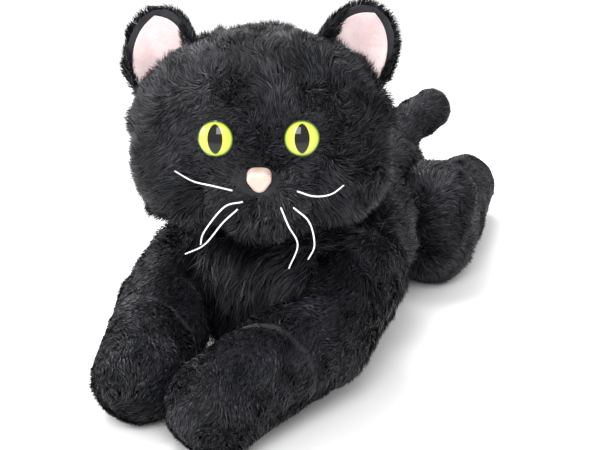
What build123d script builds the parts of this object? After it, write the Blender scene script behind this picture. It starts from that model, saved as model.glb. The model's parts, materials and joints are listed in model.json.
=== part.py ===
from build123d import *
from math import asin, cos, degrees, radians, sin
import os

os.makedirs("parts", exist_ok=True)

# A soft cat that lies on its belly and faces -Y, with its left side at +X.
# The floor is z = 0, and the belly lies flat on it. All sizes are in mm.

# Cloth and fits
skin = 4.0            # plush cloth: backing, and the foot of its pile
fill_gap = 0.3        # between a cover and the fibre inside it
soft_gap = 1.5        # between two limbs, or a limb and the body
turn_gap = 1.0        # round a ball that turns in a hollow
seam_height = 16.0    # height of the side wall of a belly or sole panel

# Torso: a body of revolution about a line that climbs towards the chest
torso_rear = Vector(0, 215, 72)
torso_front = Vector(0, -150, 98)
rump_radius = 84.0
chest_radius = 96.0
rump_cap = 95.0       # length of the rounded end at the rump
chest_cap = 75.0      # length of the rounded end at the chest
chest_seam_y = -92.0

# Head: round, with full cheeks, turned to the cat's left and lifted
head_centre = Vector(0, -115, 232)
head_radius = 90.0
cheek_reach = 117.0   # from the middle of the head to the side of a cheek
head_turn = 26.0
head_lift = 14.0
gusset_half = 34.0    # half the width of the strip over the crown
chin_seam = -34.0     # height of the seam between strip and chin

# Neck: a padded collar between the head and the hollow of the shoulders
collar_wall = 1.6     # its thickness at the sides, where it is thinnest
collar_half = 56.0    # half its width
neck_span = 44.0      # half angle of the collar
neck_lean = 19.0      # its middle leans back by this angle

# Muzzle: two soft lobes
lobe_radius = 25.0
lobe_place = Vector(17, -70, -49)

# Eyes: a dome with a shank, held by a washer inside the head
eye_radius = 14.5
eye_dome = 7.5
eye_rim = 1.6
eye_spacing = 34.0    # from the middle of the face
eye_level = -2.0
shank_radius = 3.0
shank_length = 17.0
washer_radius = 10.0
washer_thick = 2.0
shank_fit = 0.05

# Nose: a rounded triangle with a shank and a washer
nose_width = 31.0
nose_height = 23.0
nose_depth = 11.0
nose_corner = 6.5
nose_edge = 3.4
nose_level = -36.0

# Whiskers and mouth thread
whisker_radius = 0.8
whisker_bend = 8.0
thread_radius = 0.7

# Ears
ear_width = 72.0
ear_height = 68.0
ear_tip_round = 14.0
ear_cup = 50.0        # radius of the cupped form
ear_back_wall = 7.0
ear_lining_wall = 3.0
ear_margin = 5.0      # the lining stands this far inside the edge

ear_root_width = 52.0
ear_widest = 24.0     # height at which the ear is widest
ear_tip_width = 34.0  # before its corners are rounded
# Place of the root's middle in the head's frame, lean outwards, turn of the hollow outwards
ear_places = {
    "left": ((83, 8, 67), 36.0, 6.0),
    "right": ((-93, 8, 62), 26.0, 16.0),
}

# Where the limbs meet the torso, its sides are flat, and so is each limb's inner side.
shoulder_half = 58.0  # from the middle plane to the flat at a shoulder
shoulder_back = -20.0  # the shoulder flats end here
hip_half = 50.0
hip_front = 55.0      # the hip flats begin here
limb_free = 6.0       # past this distance from the torso's end a limb may cross the flat's plane

# Forelegs: shoulder, elbow, paw, both given as if on the left
foreleg_points = {
    "left": (Vector(72, -78, 92), Vector(68, -150, 60), Vector(26, -253, 41)),
    "right": (Vector(72, -78, 92), Vector(78, -160, 60), Vector(57, -238, 39)),
}
foreleg_radii = (47.0, 45.0, 40.0)
wrist_share = 0.4     # where the paw seam crosses the forearm
elbow_ease = 1.5      # the forearm starts this much slimmer inside the elbow

# Hind legs: a round haunch and a foot stretched out behind it
hip = Vector(76, 140, 64)
haunch_radius = 65.0
haunch_half = 45.0
haunch_round = 40.0
hind_points = (Vector(84, 186, 48), Vector(64, 312, 48))
hind_radii = (37.0, 36.0)
ankle_share = 0.4
sole_reach = 14.0     # the sole's seam lies this far past the middle of the foot

# Tail: it leaves the rump square to a small flat
tail_root = Vector(0, 199, 116)
tail_direction = Vector(0, 0.85, 0.53)
tail_points = (tail_root, Vector(4, 238, 135), Vector(26, 276, 150))
tail_radii = (24.0, 23.5, 23.0)

big = 700.0           # longer than the whole cat
seam_tilt = Vector(-1, 0.2, 0.3)  # turns the seam line of a revolved limb out of the way

# ---- frames of the head ----
turn, lift = radians(head_turn), radians(head_lift)
head_plane = Plane(
    origin=head_centre,
    x_dir=Vector(cos(turn), sin(turn), 0),
    z_dir=Vector(-sin(turn) * sin(lift), cos(turn) * sin(lift), cos(lift)),
)


# The collar is a ball outside and follows the head inside, so its sides set its radius.
head_radius_at_side = head_radius * (1 - (collar_half / cheek_reach) ** 2) ** 0.5 + turn_gap
collar_radius = (collar_half**2 + head_radius_at_side**2) ** 0.5 + collar_wall


def on_head(x, y, z):
    """A point given in the head's own frame: x to its left, -y out of the face, z to the crown."""
    return head_plane.from_local_coords(Vector(x, y, z))


# ---- shapes that several pieces share ----
def torso_shape(inset=0.0):
    along = torso_front - torso_rear
    end = along.length - chest_cap
    with BuildPart() as shape:
        with BuildSketch(Plane(origin=torso_rear, x_dir=along, z_dir=along.cross(Vector(0, 0, 1)))):
            with BuildLine():
                EllipticalCenterArc(
                    (rump_cap, 0), rump_cap - inset, rump_radius - inset, start_angle=90, arc_size=90
                )
                Line((rump_cap, rump_radius - inset), (end, chest_radius - inset))
                EllipticalCenterArc(
                    (end, 0), chest_cap - inset, chest_radius - inset, start_angle=0, arc_size=90
                )
                Line((inset, 0), (along.length - inset, 0))
            make_face()
        revolve(axis=Axis(torso_rear, along))
    return shape.part


def head_shape(inset=0.0):
    """A round head, wider than it is high, revolved about the line through both cheeks."""
    radius, reach = head_radius - inset, cheek_reach - inset
    profile = [
        (-reach * cos(radians(angle)), radius * sin(radians(angle))) for angle in range(0, 181, 30)
    ]
    with BuildPart() as shape:
        with BuildSketch(Plane(origin=head_centre, x_dir=head_plane.x_dir, z_dir=head_plane.y_dir)):
            with BuildLine():
                Spline(profile, tangents=((0, 1), (0, -1)))
                Line((-reach, 0), (reach, 0))
            make_face()
        revolve(axis=Axis(head_centre, head_plane.x_dir))
    return shape.part


def capsule(start, end, start_radius, end_radius):
    """Two balls and the cone that touches both."""
    along = end - start
    lean = asin((start_radius - end_radius) / along.length)
    with BuildPart() as shape:
        with BuildSketch(Plane(origin=start, x_dir=along, z_dir=along.cross(seam_tilt))):
            with BuildLine():
                CenterArc((0, 0), start_radius, 90 - degrees(lean), 90 + degrees(lean))
                CenterArc((along.length, 0), end_radius, 0, 90 - degrees(lean))
                Line(
                    (start_radius * sin(lean), start_radius * cos(lean)),
                    (along.length + end_radius * sin(lean), end_radius * cos(lean)),
                )
                Line((-start_radius, 0), (along.length + end_radius, 0))
            make_face()
        revolve(axis=Axis(start, along))
    return shape.part


def limb_shape(points, radii, grow=0.0):
    with BuildPart() as shape:
        for i in range(len(points) - 1):
            ease = elbow_ease if i else 0
            add(capsule(points[i], points[i + 1], radii[i] + grow - ease, radii[i + 1] + grow))
    return shape.part


def side_block(inner, y_from, y_to, side):
    """All the space further out than a flat at a shoulder or a hip."""
    out = Align.MIN if side > 0 else Align.MAX
    with BuildPart() as shape:
        with Locations((side * inner, (y_from + y_to) / 2, 0)):
            Box(big, abs(y_to - y_from), big, align=(out, Align.CENTER, Align.CENTER))
    return shape.part


def inner_block(outer, y_from, y_to):
    """The space beside the torso that a left limb keeps out of."""
    with BuildPart() as shape:
        with Locations((outer, (y_from + y_to) / 2, 0)):
            Box(big, y_to - y_from, big, align=(Align.MAX, Align.CENTER, Align.CENTER))
    return shape.part


def haunch_shape(inset=0.0):
    """A thick round cushion whose axis is the line through both hips."""
    with BuildPart() as shape:
        with Locations(Plane(origin=hip, z_dir=(1, 0, 0))):
            Cylinder(haunch_radius - inset, 2 * (haunch_half - inset))
        fillet(shape.edges().filter_by(GeomType.CIRCLE), radius=haunch_round - inset)
    return shape.part


def finish(piece, name):
    piece.part.label = name
    export_step(piece.part, f"parts/{name}.step")


# ---- torso ----
# The shoulders slope away under the cheeks, which swing round over them.
cheek_room_depth = 75.0
cheek_room_low = 75.5
cheek_room_rise = 60.0
tail_plane = Plane(origin=tail_root, z_dir=tail_direction)


def torso_solid(inset):
    with BuildPart() as shape:
        add(torso_shape(inset))
        split(bisect_by=Plane.XY.offset(inset), keep=Keep.TOP)
        split(bisect_by=tail_plane.offset(-inset), keep=Keep.BOTTOM)
        for side in (1, -1):
            add(side_block(shoulder_half - inset, shoulder_back + inset, -big, side), mode=Mode.SUBTRACT)
            add(side_block(hip_half - inset, hip_front - inset, big, side), mode=Mode.SUBTRACT)
        with Locations(head_centre):
            Sphere(collar_radius + turn_gap + inset, mode=Mode.SUBTRACT)
        with Locations(head_centre - (0, 0, cheek_room_depth + inset)):
            Cone(
                cheek_room_low + 1.4 * inset,
                cheek_room_low + cheek_room_rise + 1.4 * inset,
                cheek_room_rise,
                align=(Align.CENTER, Align.CENTER, Align.MIN),
                mode=Mode.SUBTRACT,
            )
    return shape.part


with BuildPart() as torso_cover:
    add(torso_solid(0))
    add(torso_solid(skin), mode=Mode.SUBTRACT)

with BuildPart() as belly_panel:
    add(torso_cover.part)
    split(bisect_by=Plane.XY.offset(seam_height), keep=Keep.BOTTOM)
finish(belly_panel, "belly_panel")

chest_seam = Plane(origin=(0, chest_seam_y, 0), z_dir=(0, -1, 0))

with BuildPart() as chest_panel:
    add(torso_cover.part)
    split(bisect_by=Plane.XY.offset(seam_height), keep=Keep.TOP)
    split(bisect_by=chest_seam, keep=Keep.TOP)
finish(chest_panel, "chest_panel")

with BuildPart() as back_cover:
    add(torso_cover.part)
    split(bisect_by=Plane.XY.offset(seam_height), keep=Keep.TOP)
    split(bisect_by=chest_seam, keep=Keep.BOTTOM)

for side_name, keep in (("left", Keep.TOP), ("right", Keep.BOTTOM)):
    with BuildPart() as back_panel:
        add(back_cover.part)
        split(bisect_by=Plane.YZ, keep=keep)
    finish(back_panel, f"back_panel_{side_name}")

with BuildPart() as torso_filling:
    add(torso_solid(skin + fill_gap))
finish(torso_filling, "torso_filling")

# ---- neck ----
neck_direction = Vector(0, sin(radians(neck_lean)), -cos(radians(neck_lean)))
collar_depth = collar_radius * cos(radians(neck_span))
middle_plane = Plane(origin=head_centre, z_dir=head_plane.x_dir)

with BuildPart() as neck_collar:
    with Locations(head_centre):
        Sphere(collar_radius)
    add(head_shape(-turn_gap), mode=Mode.SUBTRACT)
    split(
        bisect_by=Plane(origin=head_centre + neck_direction * collar_depth, z_dir=neck_direction),
        keep=Keep.TOP,
    )
    split(bisect_by=middle_plane.offset(collar_half), keep=Keep.BOTTOM)
    split(bisect_by=middle_plane.offset(-collar_half), keep=Keep.TOP)
finish(neck_collar, "neck_collar")

# ---- head ----
chin_plane = head_plane.offset(chin_seam)


def fitting_plane(x, z, seat_radius):
    """A flat seat on the face, sunk until its edge lies in the head's surface; z points out."""
    round_about = head_radius * (1 - (x / cheek_reach) ** 2) ** 0.5
    y = -((round_about**2 - z**2) ** 0.5)
    normal = Vector(x * (head_radius / cheek_reach) ** 2, y, z).normalized()
    sink = head_radius - (head_radius**2 - seat_radius**2) ** 0.5
    out = on_head(*normal) - head_centre
    return Plane(origin=on_head(x, y, z) - out * sink, x_dir=head_plane.z_dir.cross(out), z_dir=out)


nose_seat_radius = nose_width / 2 + fill_gap
eye_planes = {
    "left": fitting_plane(eye_spacing, eye_level, eye_radius),
    "right": fitting_plane(-eye_spacing, eye_level, eye_radius),
}
nose_plane = fitting_plane(0, nose_level, nose_seat_radius)
washer_top = skin + 2 * fill_gap  # a washer lies this deep behind its seat
seat_list = (*((plane, eye_radius) for plane in eye_planes.values()), (nose_plane, nose_seat_radius))


def shank_holes(radius, depth):
    """A hole behind each seat, and the room in front of the seat."""
    with BuildPart() as shape:
        for plane, seat in seat_list:
            with Locations(plane):
                Cylinder(radius, depth, align=(Align.CENTER, Align.CENTER, Align.MAX))
                Cylinder(seat, lobe_radius, align=(Align.CENTER, Align.CENTER, Align.MIN))
    return shape.part


with BuildPart() as head_cover:
    add(head_shape())
    add(head_shape(skin), mode=Mode.SUBTRACT)
    add(shank_holes(shank_radius + shank_fit, shank_length), mode=Mode.SUBTRACT)

for side_name, side in (("left", 1), ("right", -1)):
    with BuildPart() as head_side:
        add(head_cover.part)
        split(
            bisect_by=middle_plane.offset(side * gusset_half),
            keep=Keep.TOP if side > 0 else Keep.BOTTOM,
        )
    finish(head_side, f"head_side_{side_name}")

with BuildPart() as middle_strip:
    add(head_cover.part)
    split(bisect_by=middle_plane.offset(gusset_half), keep=Keep.BOTTOM)
    split(bisect_by=middle_plane.offset(-gusset_half), keep=Keep.TOP)

with BuildPart() as chin_panel:
    add(middle_strip.part)
    split(bisect_by=chin_plane, keep=Keep.BOTTOM)
finish(chin_panel, "chin_panel")

with BuildPart() as head_gusset:
    add(middle_strip.part)
    split(bisect_by=chin_plane, keep=Keep.TOP)
finish(head_gusset, "head_gusset")

with BuildPart() as head_filling:
    with Locations(head_centre):
        Sphere(head_radius - skin - 2 * fill_gap)
    for plane, seat in seat_list:
        with Locations(plane):
            Cylinder(
                shank_radius + fill_gap,
                shank_length + fill_gap,
                align=(Align.CENTER, Align.CENTER, Align.MAX),
                mode=Mode.SUBTRACT,
            )
        with Locations(plane.offset(-washer_top + fill_gap)):
            Cylinder(
                washer_radius + fill_gap,
                washer_thick + 2 * fill_gap,
                align=(Align.CENTER, Align.CENTER, Align.MAX),
                mode=Mode.SUBTRACT,
            )
finish(head_filling, "head_filling")

# Muzzle: each lobe is a pad that sits on the head and stops at the middle
for side_name, side in (("left", 1), ("right", -1)):
    with BuildPart() as lobe:
        with Locations(on_head(side * lobe_place.X, lobe_place.Y, lobe_place.Z)):
            Sphere(lobe_radius)
        add(head_shape(-fill_gap), mode=Mode.SUBTRACT)
        split(
            bisect_by=middle_plane.offset(side * fill_gap),
            keep=Keep.TOP if side > 0 else Keep.BOTTOM,
        )
        with Locations(nose_plane):
            Cylinder(nose_seat_radius, lobe_radius * 2, mode=Mode.SUBTRACT)
    finish(lobe, f"muzzle_{side_name}")


dome_height = eye_dome - eye_rim
dome_radius = (eye_radius**2 + dome_height**2) / (2 * dome_height)

for side_name, plane in eye_planes.items():
    with BuildPart() as eye:
        with Locations(plane.offset(eye_dome - dome_radius)):
            Sphere(dome_radius)
        split(bisect_by=plane.offset(eye_rim), keep=Keep.TOP)
        with Locations(plane):
            Cylinder(eye_radius, eye_rim, align=(Align.CENTER, Align.CENTER, Align.MIN))
            Cylinder(shank_radius, shank_length, align=(Align.CENTER, Align.CENTER, Align.MAX))
    finish(eye, f"eye_{side_name}")

with BuildPart() as nose:
    with BuildSketch(nose_plane) as nose_outline:
        with BuildLine():
            Polyline(
                (-nose_width / 2, nose_height / 2),
                (nose_width / 2, nose_height / 2),
                (0, -nose_height / 2),
                close=True,
            )
        make_face()
        fillet(nose_outline.vertices(), radius=nose_corner)
    extrude(amount=nose_depth)
    front = nose.faces().sort_by(Axis(nose_plane.origin, nose_plane.z_dir))[-1]
    fillet(front.edges(), radius=nose_edge)
    with Locations(nose_plane):
        Cylinder(shank_radius, shank_length, align=(Align.CENTER, Align.CENTER, Align.MAX))
finish(nose, "nose")

for name, plane in (
    ("eye_washer_left", eye_planes["left"]),
    ("eye_washer_right", eye_planes["right"]),
    ("nose_washer", nose_plane),
):
    with BuildPart() as washer:
        with Locations(plane.offset(-washer_top)):
            Cylinder(washer_radius, washer_thick, align=(Align.CENTER, Align.CENTER, Align.MAX))
            Cylinder(shank_radius + shank_fit, big, mode=Mode.SUBTRACT)
    finish(washer, name)

# Mouth: a thread in the groove between the lobes
with BuildPart() as mouth_thread:
    groove_top, groove_end = on_head(0, -90.4, -54), on_head(0, -87.2, -65)
    down = groove_end - groove_top
    with Locations(Plane(origin=groove_top, z_dir=down)):
        Cylinder(thread_radius, down.length, align=(Align.CENTER, Align.CENTER, Align.MIN))
finish(mouth_thread, "mouth_thread")

# Whiskers: stiff white filaments, each from its root in a lobe, in the head's frame
whisker_points = {
    "whisker_left_upper": ((30, -96, -43), (43, -102, -46), (56, -106, -44), (66, -106, -37)),
    "whisker_left_outer": ((27, -97.5, -56), (39, -103, -66), (43, -109, -83), (38, -112, -94)),
    "whisker_left_inner": ((17, -97, -56), (23, -104, -69), (30, -109, -83), (23, -112, -101)),
    "whisker_right_upper": ((-21, -98.5, -42), (-36, -104, -37), (-50, -108, -33), (-64, -108, -25)),
    "whisker_right_outer": ((-13, -99, -51), (-27, -103, -54), (-42, -109, -72), (-45, -111, -82)),
    "whisker_right_inner": ((-17, -97, -57), (-28, -104, -66), (-42, -110, -82), (-57, -112, -89)),
}
for name, points in whisker_points.items():
    with BuildPart() as whisker:
        with BuildLine() as route:
            FilletPolyline(*(on_head(*point) for point in points), radius=whisker_bend)
        start = route.line
        with BuildSketch(Plane(origin=start @ 0, z_dir=start % 0)):
            Circle(whisker_radius)
        sweep()
    finish(whisker, name)

# ---- ears ----
# Each ear has a frame at the middle of its root: x along the root, y up the ear, z forwards.
def ear_plane(place, lean, face_out):
    """Leans outwards by lean, and its hollow side is turned outwards by face_out."""
    side = 1 if place[0] > 0 else -1
    up = Vector(side * sin(radians(lean)), 0, cos(radians(lean)))
    forward = Vector(side * sin(radians(face_out)), -cos(radians(face_out)), 0)
    forward = forward - up * forward.dot(up)
    origin = on_head(*place)
    up = on_head(up.X, up.Y, up.Z) - head_centre
    forward = on_head(forward.X, forward.Y, forward.Z) - head_centre
    return Plane(origin=origin, x_dir=up.cross(forward), z_dir=forward)


def ear_layer(plane, near, far, margin):
    """The part of a cupped wall, between two radii, that stands inside the ear's outline."""
    turned = Plane(origin=plane.origin + plane.z_dir * ear_cup, x_dir=plane.x_dir, z_dir=plane.y_dir)
    with BuildPart(turned) as wall:
        Cylinder(far, big)
        Cylinder(near, big, mode=Mode.SUBTRACT)
    with BuildPart() as layer:
        with BuildSketch(plane):
            with BuildLine():
                root, widest, tip = (
                    width / 2 - margin for width in (ear_root_width, ear_width, ear_tip_width)
                )
                top = ear_height - margin
                Polyline(
                    (-root, margin),
                    (root, margin),
                    (widest, ear_widest),
                    (tip, top),
                    (-tip, top),
                    (-widest, ear_widest),
                    close=True,
                )
            outline = make_face()
            upper = outline.vertices().sort_by(Axis(plane.origin, plane.y_dir))[-4:]
            fillet(upper, radius=ear_tip_round - margin)
        extrude(amount=ear_cup, both=True)
        add(wall.part, mode=Mode.INTERSECT)
    return layer


for side_name, (place, lean, face_out) in ear_places.items():
    plane = ear_plane(place, lean, face_out)
    back = ear_layer(plane, ear_cup, ear_cup + ear_back_wall, 0)
    finish(back, f"ear_back_{side_name}")
    lining = ear_layer(plane, ear_cup - fill_gap - ear_lining_wall, ear_cup - fill_gap, ear_margin)
    finish(lining, f"ear_lining_{side_name}")

# ---- forelegs ----
def foreleg_solid(points, inset):
    """One foreleg as if on the left, flat under the paw and flat beside the torso."""
    free_y = torso_front.Y - limb_free
    with BuildPart() as shape:
        add(limb_shape(points, foreleg_radii, -inset))
        split(bisect_by=Plane.XY.offset(inset), keep=Keep.TOP)
        add(inner_block(shoulder_half + soft_gap + inset, free_y - inset, big), mode=Mode.SUBTRACT)
    return shape.part


def finish_on_side(piece, name, side_name):
    """Writes a piece that was made on the left, mirrored if it belongs on the right."""
    with BuildPart() as placed:
        add(piece.part)
        if side_name == "right":
            mirror(about=Plane.YZ, mode=Mode.REPLACE)
    finish(placed, f"{name}_{side_name}")


for side_name, points in foreleg_points.items():
    forearm = points[2] - points[1]
    wrist = Plane(origin=points[1] + forearm * wrist_share, z_dir=forearm)
    paw_middle = Plane(origin=points[2], z_dir=Vector(-forearm.Y, forearm.X, 0))
    with BuildPart() as leg_cover:
        add(foreleg_solid(points, 0))
        add(foreleg_solid(points, skin), mode=Mode.SUBTRACT)

    with BuildPart() as sleeve:
        add(leg_cover.part)
        split(bisect_by=wrist, keep=Keep.BOTTOM)
    finish_on_side(sleeve, "foreleg_sleeve", side_name)

    with BuildPart() as paw:
        add(leg_cover.part)
        split(bisect_by=wrist, keep=Keep.TOP)

    with BuildPart() as sole:
        add(paw.part)
        split(bisect_by=Plane.XY.offset(seam_height), keep=Keep.BOTTOM)
    finish_on_side(sole, "forepaw_sole", side_name)

    for part_name, keep in (("outer", Keep.TOP), ("inner", Keep.BOTTOM)):
        with BuildPart() as paw_half:
            add(paw.part)
            split(bisect_by=Plane.XY.offset(seam_height), keep=Keep.TOP)
            split(bisect_by=paw_middle, keep=keep)
        finish_on_side(paw_half, f"forepaw_{part_name}", side_name)

    with BuildPart() as filling:
        add(foreleg_solid(points, skin + fill_gap))
    finish_on_side(filling, "foreleg_filling", side_name)

# ---- hind legs ----
def hind_solid(inset):
    """Left haunch and foot in one, flat beside the torso."""
    free_y = torso_rear.Y + limb_free
    with BuildPart() as shape:
        add(haunch_shape(inset))
        add(capsule(*hind_points, hind_radii[0] - inset, hind_radii[1] - inset))
        split(bisect_by=Plane.XY.offset(inset), keep=Keep.TOP)
        add(inner_block(hip_half + soft_gap + inset, -big, free_y + inset), mode=Mode.SUBTRACT)
    return shape.part


shin = hind_points[1] - hind_points[0]
ankle = Plane(origin=hind_points[0] + shin * ankle_share, z_dir=shin)
sole_seam = Plane(origin=hind_points[1] + shin.normalized() * sole_reach, z_dir=shin)
with BuildPart() as hind_cover:
    add(hind_solid(0))
    add(hind_solid(skin), mode=Mode.SUBTRACT)

with BuildPart() as haunch:
    add(hind_cover.part)
    split(bisect_by=ankle, keep=Keep.BOTTOM)

with BuildPart() as foot:
    add(hind_cover.part)
    split(bisect_by=ankle, keep=Keep.TOP)
    split(bisect_by=sole_seam, keep=Keep.BOTTOM)

with BuildPart() as hind_sole:
    add(hind_cover.part)
    split(bisect_by=sole_seam, keep=Keep.TOP)

with BuildPart() as hind_filling:
    add(hind_solid(skin + fill_gap))

for side_name in ("left", "right"):
    finish_on_side(haunch, "haunch_cover", side_name)
    finish_on_side(foot, "hind_foot", side_name)
    finish_on_side(hind_sole, "hind_sole", side_name)
    finish_on_side(hind_filling, "hind_filling", side_name)

# ---- tail ----
def tail_solid(inset):
    with BuildPart() as shape:
        add(limb_shape(tail_points, tail_radii, -inset))
        split(bisect_by=tail_plane.offset(soft_gap + inset), keep=Keep.TOP)
    return shape.part


with BuildPart() as tail_cover:
    add(tail_solid(0))
    add(tail_solid(skin), mode=Mode.SUBTRACT)
finish(tail_cover, "tail_cover")

with BuildPart() as tail_filling:
    add(tail_solid(skin + fill_gap))
finish(tail_filling, "tail_filling")
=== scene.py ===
import json
import math

import bmesh
import bpy
import numpy as np
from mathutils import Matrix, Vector


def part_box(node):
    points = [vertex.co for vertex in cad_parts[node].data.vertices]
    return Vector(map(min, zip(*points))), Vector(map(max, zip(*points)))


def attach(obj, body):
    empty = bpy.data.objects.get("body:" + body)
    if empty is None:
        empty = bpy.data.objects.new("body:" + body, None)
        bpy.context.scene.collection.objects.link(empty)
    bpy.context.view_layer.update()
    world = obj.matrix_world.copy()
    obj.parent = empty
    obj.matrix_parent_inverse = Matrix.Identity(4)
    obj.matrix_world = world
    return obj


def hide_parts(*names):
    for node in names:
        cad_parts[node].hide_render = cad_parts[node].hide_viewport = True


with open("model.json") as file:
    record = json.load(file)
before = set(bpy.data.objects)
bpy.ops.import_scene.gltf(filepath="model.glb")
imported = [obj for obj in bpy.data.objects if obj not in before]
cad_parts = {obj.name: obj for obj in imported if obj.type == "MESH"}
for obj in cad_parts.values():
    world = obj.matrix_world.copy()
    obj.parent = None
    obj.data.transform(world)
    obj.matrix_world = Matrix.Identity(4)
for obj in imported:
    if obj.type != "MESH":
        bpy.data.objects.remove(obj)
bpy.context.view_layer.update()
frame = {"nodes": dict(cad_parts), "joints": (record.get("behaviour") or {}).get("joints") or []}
draw = np.random.default_rng(7)
mm = 0.001

# The head turns about its own middle, and nods about the line through both cheeks.
joints = {joint["name"]: joint for joint in frame["joints"]}
headMiddle = np.array(joints["neck_nod"]["pos_m"])
headX = np.array(joints["neck_nod"]["axis"])
headX = headX / np.linalg.norm(headX)
headLift = math.radians(14)
headZ = np.array([-headX[1] * math.sin(headLift), headX[0] * math.sin(headLift), math.cos(headLift)])
headY = np.cross(headZ, headX)
headFrame = np.array([headX, headY, headZ])


def onHead(x, y, z):
    return headMiddle + np.array([x, y, z]) * mm @ headFrame


# ---- materials ----
def material(name, color, roughness, sheen=0.0, coat=0.0, specular=0.5):
    made = bpy.data.materials.new(name)
    made.use_nodes = True
    shader = made.node_tree.nodes["Principled BSDF"]
    shader.inputs["Base Color"].default_value = (*color, 1)
    shader.inputs["Roughness"].default_value = roughness
    shader.inputs["Specular IOR Level"].default_value = specular
    shader.inputs["Sheen Weight"].default_value = sheen
    shader.inputs["Sheen Roughness"].default_value = 0.4
    shader.inputs["Coat Weight"].default_value = coat
    return made


def nodesOf(made):
    tree = made.node_tree
    return tree.nodes, tree.links, tree.nodes["Principled BSDF"]


# Two colours mixed by noise in the piece's own space, with a bump of the same grain.
def mottle(made, low, high, scale, bump=0.0, detail=6.0):
    nodes, links, shader = nodesOf(made)
    coords = nodes.new("ShaderNodeTexCoord")
    noise = nodes.new("ShaderNodeTexNoise")
    noise.inputs["Scale"].default_value = scale
    noise.inputs["Detail"].default_value = detail
    links.new(coords.outputs["Object"], noise.inputs["Vector"])
    ramp = nodes.new("ShaderNodeValToRGB")
    ramp.color_ramp.elements[0].position = 0.35
    ramp.color_ramp.elements[0].color = (*low, 1)
    ramp.color_ramp.elements[1].position = 0.68
    ramp.color_ramp.elements[1].color = (*high, 1)
    links.new(noise.outputs["Fac"], ramp.inputs["Fac"])
    links.new(ramp.outputs["Color"], shader.inputs["Base Color"])
    if bump:
        fine = nodes.new("ShaderNodeTexNoise")
        fine.inputs["Scale"].default_value = scale * 9
        links.new(coords.outputs["Object"], fine.inputs["Vector"])
        raised = nodes.new("ShaderNodeBump")
        raised.inputs["Strength"].default_value = bump
        raised.inputs["Distance"].default_value = 0.0006
        links.new(fine.outputs["Fac"], raised.inputs["Height"])
        links.new(raised.outputs["Normal"], shader.inputs["Normal"])
    return made


backing = mottle(material("fur_backing", (0, 0, 0), 0.9, sheen=0.3), (0.006, 0.006, 0.008),
                 (0.02, 0.02, 0.026), 90, bump=0.6)
furMix = [
    material("fur_black", (0.0035, 0.0035, 0.0045), 0.5, specular=0.25),
    material("fur_blue_black", (0.005, 0.0058, 0.010), 0.45, sheen=0.04, specular=0.35),
    material("fur_blue_grey", (0.014, 0.017, 0.029), 0.42, sheen=0.08, specular=0.5),
    material("fur_mauve_brown", (0.018, 0.013, 0.018), 0.45, sheen=0.06, specular=0.4),
]
velour = mottle(material("velour_pink", (0.8, 0.7, 0.7), 0.9, sheen=0.6), (0.60, 0.45, 0.46),
                (0.74, 0.61, 0.61), 45, bump=0.9)
nosePlastic = mottle(material("nose_plastic", (0.8, 0.6, 0.5), 0.42), (0.62, 0.44, 0.37),
                     (0.74, 0.57, 0.50), 70, bump=0.25)
whiskerPlastic = mottle(material("whisker_filament", (0.9, 0.9, 0.9), 0.35), (0.84, 0.84, 0.84),
                        (0.95, 0.95, 0.95), 300)
threadCloth = mottle(material("thread", (0.02, 0.02, 0.02), 0.8), (0.01, 0.01, 0.01),
                     (0.04, 0.04, 0.045), 900, bump=0.5)


# A yellow-green iris round a tall dark pupil, drawn in the head's own directions.
def eyeMaterial(name, place):
    made = material(name, (0.7, 0.8, 0.1), 0.05, coat=0.15, specular=0.35)
    nodes, links, shader = nodesOf(made)
    coords = nodes.new("ShaderNodeTexCoord")

    def math2(kind, a, b=None):
        node = nodes.new("ShaderNodeMath")
        node.operation = kind
        for socket, value in zip(node.inputs, (a, b)):
            if value is None:
                continue
            if isinstance(value, (int, float)):
                socket.default_value = value
            else:
                links.new(value, socket)
        return node.outputs["Value"]

    def along(direction):
        dot = nodes.new("ShaderNodeVectorMath")
        dot.operation = "DOT_PRODUCT"
        links.new(coords.outputs["Object"], dot.inputs[0])
        dot.inputs[1].default_value = tuple(direction)
        return math2("SUBTRACT", dot.outputs["Value"], float(np.dot(place, direction)))

    across = along(headX)
    up = along(headZ)
    pupil = math2("ADD", math2("POWER", math2("ABSOLUTE", math2("DIVIDE", across, 0.0060)), 1.7),
                  math2("POWER", math2("ABSOLUTE", math2("DIVIDE", up, 0.0118)), 2.0))
    edge = math2("SQRT", math2("ADD", math2("MULTIPLY", across, across), math2("MULTIPLY", up, up)))
    iris = nodes.new("ShaderNodeValToRGB")
    ramp = iris.color_ramp
    ramp.elements[0].position = 0.0
    ramp.elements[0].color = (0.62, 0.72, 0.05, 1)
    ramp.elements[1].position = 1.0
    ramp.elements[1].color = (0.01, 0.012, 0.008, 1)
    rings = ((0.62, (0.70, 0.80, 0.10)), (0.86, (0.42, 0.56, 0.05)), (0.93, (0.05, 0.07, 0.01)))
    for position, color in rings:
        ramp.elements.new(position).color = (*color, 1)
    links.new(math2("DIVIDE", edge, 0.0146), iris.inputs["Fac"])
    opening = nodes.new("ShaderNodeMapRange")
    opening.inputs["From Min"].default_value = 0.92
    opening.inputs["From Max"].default_value = 1.08
    links.new(pupil, opening.inputs["Value"])
    mix = nodes.new("ShaderNodeMix")
    mix.data_type = "RGBA"
    mix.inputs["A"].default_value = (0.004, 0.004, 0.004, 1)
    links.new(opening.outputs["Result"], mix.inputs["Factor"])
    links.new(iris.outputs["Color"], mix.inputs["B"])
    links.new(mix.outputs["Result"], shader.inputs["Base Color"])
    return made


# ---- skins ----
def meshFrom(name, points, faces):
    mesh = bpy.data.meshes.new(name)
    mesh.from_pydata([tuple(point) for point in points], [], faces)
    piece = bpy.data.objects.new(name, mesh)
    bpy.context.scene.collection.objects.link(piece)
    return piece


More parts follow.
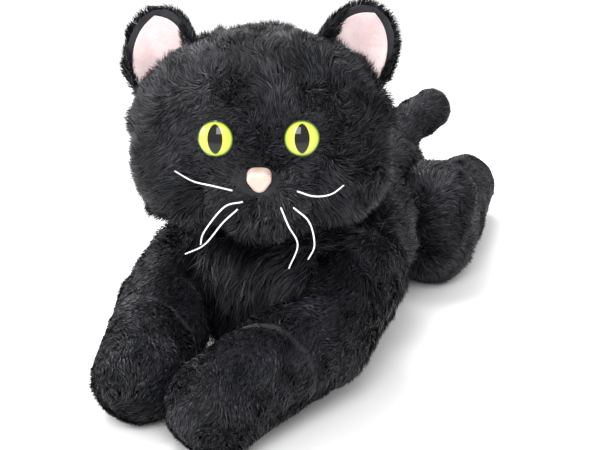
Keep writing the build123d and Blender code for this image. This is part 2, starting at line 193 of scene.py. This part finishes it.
# The piece with its modifiers worked into its mesh.
def applied(piece):
    depsgraph = bpy.context.evaluated_depsgraph_get()
    depsgraph.update()
    mesh = bpy.data.meshes.new_from_object(piece.evaluated_get(depsgraph))
    piece.modifiers.clear()
    piece.data = mesh
    mesh.polygons.foreach_set("use_smooth", [True] * len(mesh.polygons))
    return piece


# A ball stretched along three directions, as points and faces.
def ball(middle, sizes, frameRows):
    bm = bmesh.new()
    bmesh.ops.create_icosphere(bm, subdivisions=4, radius=1)
    for vert in bm.verts:
        vert.co = Vector(middle + (np.array(vert.co) * np.array(sizes) * mm) @ frameRows)
    return bm


def joined(name, parts):
    whole = bmesh.new()
    for part in parts:
        mesh = bpy.data.meshes.new("part")
        part.to_mesh(mesh)
        part.free()
        whole.from_mesh(mesh)
        bpy.data.meshes.remove(mesh)
    mesh = bpy.data.meshes.new(name)
    whole.to_mesh(mesh)
    whole.free()
    piece = bpy.data.objects.new(name, mesh)
    bpy.context.scene.collection.objects.link(piece)
    return piece


# A node's mesh with its loose triangles merged into one closed skin.
def nodeCopy(name):
    bm = bmesh.new()
    bm.from_mesh(frame["nodes"][name].data)
    bmesh.ops.remove_doubles(bm, verts=bm.verts, dist=0.00002)
    return bm


def cushion(name, parts, body, replaced, voxel, grow, smooth):
    piece = joined(name, parts)
    remesh = piece.modifiers.new("remesh", "REMESH")
    remesh.mode = "VOXEL"
    remesh.voxel_size = voxel * mm
    applied(piece)
    even = piece.modifiers.new("even", "SMOOTH")
    even.iterations = smooth
    even.factor = 0.6
    puff = piece.modifiers.new("puff", "DISPLACE")
    puff.strength = grow * mm
    puff.mid_level = 0
    applied(piece)
    floorLevel(piece)
    piece.data.materials.clear()
    piece.data.materials.append(backing)
    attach(piece, body)
    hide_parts(*replaced)
    return piece


def floorLevel(piece, lowest=0.0004):
    count = len(piece.data.vertices)
    points = np.empty(count * 3)
    piece.data.vertices.foreach_get("co", points)
    points = points.reshape(-1, 3)
    points[:, 2] = np.maximum(points[:, 2], lowest)
    piece.data.vertices.foreach_set("co", points.ravel())
    piece.data.update()


# ---- fur ----
# Points spread evenly over a piece, with its normals there.
def samples(piece, count):
    mesh = piece.data
    mesh.calc_loop_triangles()
    corners = np.empty(len(mesh.loop_triangles) * 3, dtype=np.int32)
    mesh.loop_triangles.foreach_get("vertices", corners)
    corners = corners.reshape(-1, 3)
    points = np.empty(len(mesh.vertices) * 3)
    mesh.vertices.foreach_get("co", points)
    points = points.reshape(-1, 3)
    normals = np.empty(len(mesh.vertices) * 3)
    mesh.vertices.foreach_get("normal", normals)
    normals = normals.reshape(-1, 3)
    a, b, c = (points[corners[:, i]] for i in range(3))
    areas = np.linalg.norm(np.cross(b - a, c - a), axis=1)
    picked = draw.choice(len(areas), count, p=areas / areas.sum())
    u, v = draw.random(count), draw.random(count)
    over = u + v > 1
    u[over], v[over] = 1 - u[over], 1 - v[over]
    weights = np.stack([1 - u - v, u, v], axis=1)[:, :, None]
    place = (points[corners[picked]] * weights).sum(axis=1)
    normal = (normals[corners[picked]] * weights).sum(axis=1)
    return place, unit(normal)


def unit(vectors):
    return vectors / np.maximum(np.linalg.norm(vectors, axis=1), 1e-9)[:, None]


droop = np.array([0, 0, -0.22])
floorGap = 0.0004
waves = draw.normal(size=(3, 3, 14, 3))
phases = draw.random((3, 3, 14)) * 2 * math.pi


# A smooth random direction that changes over about that size, in metres.
def drift(points, size, kind):
    out = np.zeros_like(points)
    for axis in range(3):
        for wave, phase in zip(waves[kind, axis], phases[kind, axis]):
            out[:, axis] += np.sin(points @ wave / size * 2.2 + phase)
    return out / 3.7


# Short bent blades that stand on a skin, in tufts that lean together.
def fur(name, skin, body, count, pile, comb, keep, width=0.85, lift=0.62, curl=0.5, brown=0.12):
    place, normal = samples(skin, count)
    kept = keep(place, normal)
    share = draw.random(count) < kept
    place, normal, kept = place[share], normal[share], kept[share]
    length = pile(place, normal) * mm * (0.7 + 0.5 * draw.random(len(place)))
    way = comb(place)
    way = unit(way - normal * (way * normal).sum(axis=1)[:, None])
    tuft = drift(place, 0.016, 0) * 0.75 + drift(place, 0.045, 1) * 0.35
    lean = way + tuft * curl * 1.6 + draw.normal(size=place.shape) * 0.16
    lean = lean - normal * (lean * normal).sum(axis=1)[:, None]
    start = unit(normal * lift * 1.35 + lean * 0.75)
    ends = drift(place, 0.010, 2) * curl * 0.6
    end = unit(normal * lift * 0.75 + lean * 1.15 + ends + droop)
    side = unit(np.cross(start, normal + draw.normal(size=place.shape) * 0.6))
    half = side * (width * mm / 2 * (0.75 + 0.5 * draw.random(len(place))))[:, None]
    root = place - normal * 0.0008
    middle = root + start * (length * 0.52)[:, None]
    tip = middle + end * (length * 0.55)[:, None]
    points = np.stack([root - half, root + half, middle + half * 0.8, middle - half * 0.8, tip], axis=1)
    points[:, :, 2] = np.maximum(points[:, :, 2], floorGap)
    total = len(place)
    base = (np.arange(total) * 5)[:, None]
    loops = (base + np.array([0, 1, 2, 3, 3, 2, 4])).ravel()
    mesh = bpy.data.meshes.new(name)
    mesh.vertices.add(total * 5)
    mesh.vertices.foreach_set("co", points.ravel())
    mesh.loops.add(total * 7)
    mesh.loops.foreach_set("vertex_index", loops.astype(np.int32))
    mesh.polygons.add(total * 2)
    starts = ((np.arange(total) * 7)[:, None] + np.array([0, 4])).ravel()
    mesh.polygons.foreach_set("loop_start", starts.astype(np.int32))
    patch = drift(place, 0.022, 1)[:, 0]
    roll = draw.random(total)
    shade = np.where(roll + patch * 0.18 > 0.80, 2, np.where(roll + patch * 0.15 > 0.45, 1, 0))
    shade = np.where(draw.random(total) < brown * (1 + patch), 3, shade)
    mesh.polygons.foreach_set("material_index", np.repeat(shade, 2).astype(np.int32))
    mesh.polygons.foreach_set("use_smooth", np.ones(total * 2, dtype=bool))
    mesh.update(calc_edges=True)
    blade = unit(np.cross(side, start))
    blade = blade * np.sign((blade * normal).sum(axis=1) + 1e-9)[:, None]
    soft = unit(normal * 0.55 + blade * 0.5 + draw.normal(size=place.shape) * 0.12)
    mesh.normals_split_custom_set_from_vertices(np.repeat(soft, 5, axis=0))
    piece = bpy.data.objects.new(name, mesh)
    bpy.context.scene.collection.objects.link(piece)
    for one in furMix:
        mesh.materials.append(one)
    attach(piece, body)
    print(name, total, "blades")
    return piece


def everywhere(place, normal):
    return np.ones(len(place))


def offFloor(place, normal):
    return np.where((place[:, 2] < 0.003) & (normal[:, 2] < -0.5), 0.0, 1.0)


# ---- head ----
eyeSpots = {"left": onHead(34, -81, -2), "right": onHead(-34, -81, -2)}
headBalls = [
    ball(headMiddle, (106, 86, 84), headFrame),
    ball(onHead(56, -18, -24), (48, 51, 52), headFrame),
    ball(onHead(-56, -18, -24), (48, 51, 52), headFrame),
    ball(onHead(15, -68, -47), (25, 23, 20), headFrame),
    ball(onHead(-15, -68, -47), (25, 23, 20), headFrame),
    ball(onHead(0, -64, -63), (24, 20, 18), headFrame),
    ball(onHead(0, -66, -14), (15, 14, 20), headFrame),
]
headNodes = ["head_gusset", "head_side_left", "head_side_right", "chin_panel", "head_filling",
             "muzzle_left", "muzzle_right"]
headSkin = cushion("head_skin", headBalls, "head", headNodes, 3.2, 0.2, 5)
print("head skin", len(headSkin.data.vertices))


def inHead(place):
    return (place - headMiddle) @ headFrame.T / mm


def nearest(place, spots):
    return np.min([np.linalg.norm(place - spot, axis=1) for spot in spots], axis=0) / mm


def eyeGap(place):
    flat = inHead(place)
    gaps = []
    for side in (1, -1):
        gap = np.hypot(flat[:, 0] - side * 34, flat[:, 2] + 2)
        gaps.append(np.where(flat[:, 1] < 0, gap, 999))
    return np.min(gaps, axis=0)


def noseGap(place):
    flat = inHead(place)
    gap = np.hypot(flat[:, 0] / 1.2, (flat[:, 2] + 35) / 0.85)
    return np.where(flat[:, 1] < 0, gap, 999)


def headPile(place, normal):
    near = np.minimum(eyeGap(place) - 12, noseGap(place) - 12)
    flat = inHead(place)
    long = 13 + 3 * np.clip((np.abs(flat[:, 0]) - 50) / 50, 0, 1)
    face = np.clip((near - 1) / 34, 0, 1)
    return 3.5 + (long - 3.5) * face


def headKeep(place, normal):
    open_ = (eyeGap(place) > 12.5) & (noseGap(place) > 12.5)
    flat = inHead(place)
    mouth = (np.abs(flat[:, 0]) < 1.0) & (flat[:, 2] < -45) & (flat[:, 2] > -66) & (flat[:, 1] < -60)
    return np.where(open_ & ~mouth, 1.0, 0.0)


def headComb(place):
    flat = inHead(place)
    away = flat - np.array([0, -92, -34])
    away[:, 1] = away[:, 1] * 0.9 + 14
    away[:, 2] = away[:, 2] - 6
    return away @ headFrame


def headPart(low, high):
    def keep(place, normal):
        x = inHead(place)[:, 0]
        return headKeep(place, normal) * ((x >= low) & (x < high))
    return keep


headParts = (
    ("fur_head_left", 34, 999),
    ("fur_head_middle_left", 0, 34),
    ("fur_head_middle_right", -34, 0),
    ("fur_head_right", -999, -34),
)
headBlades = 150000
for name, low, high in headParts:
    fur(name, headSkin, "head", headBlades, headPile, headComb, headPart(low, high), curl=0.62, brown=0.16)

for sideName in ("left", "right"):
    eye = frame["nodes"]["eye_" + sideName]
    eye.data.materials.clear()
    eye.data.materials.append(eyeMaterial("eye_plastic_" + sideName, eyeSpots[sideName]))
for name, made in (("nose", nosePlastic), ("mouth_thread", threadCloth)):
    frame["nodes"][name].data.materials.clear()
    frame["nodes"][name].data.materials.append(made)
# Each whisker bends lazily through its points, given in the head's own directions.
whiskers = {
    "whisker_left_upper": [(30, -94, -43), (43, -102, -46), (56, -106, -44), (66, -106, -37)],
    "whisker_left_outer": [(27, -93, -56), (39, -103, -66), (43, -109, -83), (38, -112, -94)],
    "whisker_left_inner": [(17, -93, -56), (23, -104, -69), (30, -109, -83), (23, -112, -101)],
    "whisker_right_upper": [(-21, -94, -42), (-36, -104, -37), (-50, -108, -33), (-64, -108, -25)],
    "whisker_right_outer": [(-13, -94, -51), (-27, -103, -54), (-42, -109, -72), (-45, -111, -82)],
    "whisker_right_inner": [(-17, -94, -57), (-28, -104, -66), (-42, -110, -82), (-57, -112, -89)],
}
whiskerThick = 0.75


# A curve through the points that passes each without a corner.
def smoothPath(points, steps):
    points = np.array(points, dtype=float)
    padded = np.vstack([2 * points[0] - points[1], points, 2 * points[-1] - points[-2]])
    path = []
    for i in range(len(points) - 1):
        a, b, c, d = padded[i:i + 4]
        for t in np.linspace(0, 1, steps, endpoint=False):
            path.append(0.5 * (2 * b + (c - a) * t + (2 * a - 5 * b + 4 * c - d) * t**2
                               + (3 * b - a - 3 * c + d) * t**3))
    return np.array(path + [points[-1]])


for name, points in whiskers.items():
    path = smoothPath(points, 10)
    sides = 8
    ring, faces = [], []
    for k, spot in enumerate(path):
        tangent = path[min(k + 1, len(path) - 1)] - path[max(k - 1, 0)]
        tangent = tangent / np.linalg.norm(tangent)
        first = np.cross(tangent, (0, 1, 0.2))
        first = first / np.linalg.norm(first)
        second = np.cross(tangent, first)
        thick = whiskerThick * (1 - 0.35 * k / len(path))
        for turn in range(sides):
            angle = 2 * math.pi * turn / sides
            place = spot + thick * (first * math.cos(angle) + second * math.sin(angle))
            ring.append(onHead(*place))
    for k in range(len(path) - 1):
        for turn in range(sides):
            a, b = k * sides + turn, k * sides + (turn + 1) % sides
            faces.append((a, b, b + sides, a + sides))
    faces.append(tuple(range(sides))[::-1])
    faces.append(tuple(range(len(ring) - sides, len(ring))))
    piece = meshFrom(name + "_filament", ring, faces)
    piece.data.polygons.foreach_set("use_smooth", [True] * len(piece.data.polygons))
    piece.data.materials.append(whiskerPlastic)
    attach(piece, "head")
    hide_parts(name)

# ---- body, legs and tail ----
torsoNodes = ["belly_panel", "chest_panel", "back_panel_left", "back_panel_right", "torso_filling"]
torsoSkin = cushion("torso_skin", [nodeCopy("torso_filling")], "torso", torsoNodes, 5, 4, 6)


def toRear(place):
    return np.stack([np.zeros(len(place)), np.full(len(place), 1.0), np.full(len(place), -0.35)], axis=1)


def bibComb(place):
    front = np.clip((-0.06 - place[:, 1]) / 0.05, 0, 1)[:, None]
    down = np.array([0, -0.25, -1.0])
    return toRear(place) * (1 - front) + down * front


def bibPile(place, normal):
    return 11 + 13 * np.clip((-0.09 - place[:, 1]) / 0.04, 0, 1)


def torsoPart(low, high):
    def keep(place, normal):
        return offFloor(place, normal) * ((place[:, 1] >= low) & (place[:, 1] < high))
    return keep


for name, low, high in (("fur_chest", -1, -0.06), ("fur_back", -0.06, 0.09), ("fur_rump", 0.09, 1)):
    fur(name, torsoSkin, "torso", 110000, bibPile, bibComb, torsoPart(low, high), width=1.0)

limbs = [
    ("foreleg", "left", ["foreleg_sleeve_", "forepaw_outer_", "forepaw_inner_", "forepaw_sole_"], 62000),
    ("foreleg", "right", ["foreleg_sleeve_", "forepaw_outer_", "forepaw_inner_", "forepaw_sole_"], 62000),
    ("hind_leg", "left", ["haunch_cover_", "hind_foot_", "hind_sole_"], 60000),
    ("hind_leg", "right", ["haunch_cover_", "hind_foot_", "hind_sole_"], 50000),
]
for kind, sideName, covers, count in limbs:
    filling = ("foreleg" if kind == "foreleg" else "hind") + "_filling_" + sideName
    body = kind + "_" + sideName
    front = kind == "foreleg"
    nodes = [cover + sideName for cover in covers] + [filling]
    skin = cushion(body + "_skin", [nodeCopy(filling)], body, nodes, 4, 4, 6)
    direction = np.array([0, -1, -0.35]) if front else np.array([0, 1, -0.3])

    def limbComb(place, direction=direction):
        return np.repeat(direction[None, :], len(place), axis=0)

    def limbPile(place, normal, front=front):
        if front:
            return 6.5 + 6 * np.clip((place[:, 1] + 0.17) / 0.06, 0, 1)
        return 6.5 + 4 * np.clip((0.19 - place[:, 1]) / 0.05, 0, 1)

    def limbKeep(place, normal, nodes=nodes, front=front):
        seam = np.ones(len(place))
        if front:
            cuff = (np.array(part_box(nodes[1])[1])[1])
            seam = np.where(np.abs(place[:, 1] - cuff + 0.012) < 0.0022, 0.05, 1.0)
        return offFloor(place, normal) * seam

    fur("fur_" + body, skin, body, count, limbPile, limbComb, limbKeep, width=0.95, curl=0.5)

tailNodes = ["tail_cover", "tail_filling"]
tailSkin = cushion("tail_skin", [nodeCopy("tail_filling")], "tail", tailNodes, 3.5, 3, 5)
fur("fur_tail", tailSkin, "tail", 45000, lambda p, n: np.full(len(p), 8.0),
    lambda p: np.repeat(np.array([[0.1, 0.8, 0.5]]), len(p), axis=0), everywhere)

# The padded collar fills the neck between the head and the shoulders.
neckSpot = headMiddle + np.array([0, 22, -62]) * mm
neckBall = ball(neckSpot, (66, 68, 34), np.eye(3))
neckSkin = cushion("neck_skin", [neckBall], "neck", ["neck_collar"], 5, 0, 2)
fur("fur_neck", neckSkin, "neck", 32000, lambda p, n: np.full(len(p), 13.0), toRear, everywhere, width=1.0)

# ---- ears ----
ears = {
    "left": {"place": (69, 3, 44), "lean": 28, "face": 4},
    "right": {"place": (-76, 3, 37), "lean": 15, "face": 12},
}
earHeight, earHalf, earCup = 72, 33, 46


# Half the ear's width at a share of its height.
def earRow(share):
    if share < 0.34:
        return earHalf * (0.78 + 0.22 * math.sin(share / 0.34 * math.pi / 2))
    top = (share - 0.34) / 0.66
    return earHalf * math.sqrt(max(0.0, 1 - top**2.6)) * (1 - 0.14 * top)


for sideName, ear in ears.items():
    side = 1 if sideName == "left" else -1
    lean, face = math.radians(ear["lean"]), math.radians(ear["face"])
    up = np.array([side * math.sin(lean), 0, math.cos(lean)])
    forward = np.array([side * math.sin(face), -math.cos(face), 0])
    forward = forward - up * forward.dot(up)
    forward = forward / np.linalg.norm(forward)
    rows = np.array([np.cross(up, forward), up, forward]) @ headFrame
    origin = onHead(*ear["place"])

    def sheetPoint(u, share, grow, back):
        half = max(earRow(share) - grow, 0.4)
        x = u * half
        y = share * (earHeight - grow) - 4
        curve = earCup - math.sqrt(earCup**2 - min(abs(x), earCup - 1) ** 2)
        crease = 1.2 * math.sin(u * 5 + share * 3) * (1 - share)
        z = curve * 1.05 - back + crease * 0.6 - 5 * share**2
        return origin + (np.array([x, y, z]) * mm) @ rows

    for kind, grow, near, far in (("back", 0.0, 0.6, 6.4), ("lining", 5.0, -1.9, 0.4)):
        across, upward = 22, 26
        points, faces = [], []
        for back in (near, far):
            for j in range(upward + 1):
                for i in range(across + 1):
                    u = 2 * i / across - 1
                    share = min(j / upward, 0.9995)
                    rim = max(abs(u), share) ** 6
                    depth = back + (0.5 * (near + far) - back) * rim * 0.85
                    points.append(sheetPoint(u, share, grow, depth))
        size = (across + 1) * (upward + 1)
        for layer in (0, 1):
            for j in range(upward):
                for i in range(across):
                    a = layer * size + j * (across + 1) + i
                    quad = (a, a + 1, a + across + 2, a + across + 1)
                    faces.append(quad if layer == 0 else quad[::-1])
        loop = [(i, 0) for i in range(across)] + [(across, j) for j in range(upward)]
        loop += [(i, upward) for i in range(across, 0, -1)] + [(0, j) for j in range(upward, 0, -1)]
        for k, (i, j) in enumerate(loop):
            m, n = loop[(k + 1) % len(loop)]
            a, b = j * (across + 1) + i, n * (across + 1) + m
            faces.append((b, a, a + size, b + size))
        piece = meshFrom(f"ear_{kind}_{sideName}_cloth", points, faces)
        bm = bmesh.new()
        bm.from_mesh(piece.data)
        bmesh.ops.remove_doubles(bm, verts=bm.verts, dist=0.0001)
        bmesh.ops.recalc_face_normals(bm, faces=bm.faces)
        bm.to_mesh(piece.data)
        bm.free()
        piece.data.polygons.foreach_set("use_smooth", [True] * len(piece.data.polygons))
        piece.data.materials.append(backing if kind == "back" else velour)
        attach(piece, "ear_" + sideName)
        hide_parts(f"ear_{kind}_{sideName}")
        if kind == "back":
            upWay, forwardWay, rightWay = rows[1], rows[2], rows[0]

            def earKeep(place, normal, forwardWay=forwardWay, rightWay=rightWay, origin=origin, side=side):
                facing = normal @ forwardWay
                x = (place - origin) @ rightWay / mm
                rim = (np.abs(x) > 28) | (x * side < -22)
                return np.where(facing < 0.25, 1.0, np.where(rim, 0.5, 0.0))

            fur("fur_ear_" + sideName, piece, "ear_" + sideName, 30000, lambda p, n: np.full(len(p), 8.5),
                lambda p, way=upWay: np.repeat(way[None, :], len(p), axis=0), earKeep, curl=0.4)
print("ears made")

# ---- stage ----
floor = meshFrom("floor", [(-4, -4, 0), (4, -4, 0), (4, 6, 0), (-4, 6, 0)], [(0, 1, 2, 3)])
floor.data.materials.append(material("floor_white", (0.93, 0.93, 0.93), 0.8))

world = bpy.data.worlds.new("studio")
bpy.context.scene.world = world
world.use_nodes = True
world.node_tree.nodes["Background"].inputs["Color"].default_value = (1, 1, 1, 1)
world.node_tree.nodes["Background"].inputs["Strength"].default_value = 0.9

target = Vector((0, -0.02, 0.12))
lights = {
    "key": {"place": (0.45, -1.1, 1.3), "size": 0.8, "power": 17},
    "top": {"place": (-0.5, 0.3, 1.5), "size": 1.0, "power": 26},
    "side": {"place": (-1.3, -0.7, 0.7), "size": 0.8, "power": 12},
}
for name, light in lights.items():
    lamp = bpy.data.lights.new(name, "AREA")
    lamp.size = light["size"]
    lamp.energy = light["power"]
    holder = bpy.data.objects.new(name, lamp)
    holder.location = light["place"]
    holder.rotation_euler = (target - holder.location).to_track_quat("-Z", "Y").to_euler()
    bpy.context.scene.collection.objects.link(holder)

azimuth, elevation, distance = math.radians(25), math.radians(22), 1.0
view = Vector((math.sin(azimuth) * math.cos(elevation), -math.cos(azimuth) * math.cos(elevation),
               math.sin(elevation)))
cameraData = bpy.data.cameras.new("camera")
cameraData.lens = 60.6
cameraData.sensor_width = 36
cameraData.shift_x = -0.0133
cameraData.shift_y = -0.0217
camera = bpy.data.objects.new("camera", cameraData)
camera.location = target + view * distance
camera.rotation_euler = (-view).to_track_quat("-Z", "Y").to_euler()
bpy.context.scene.collection.objects.link(camera)
bpy.context.scene.camera = camera
bpy.context.scene.view_settings.view_transform = "Standard"
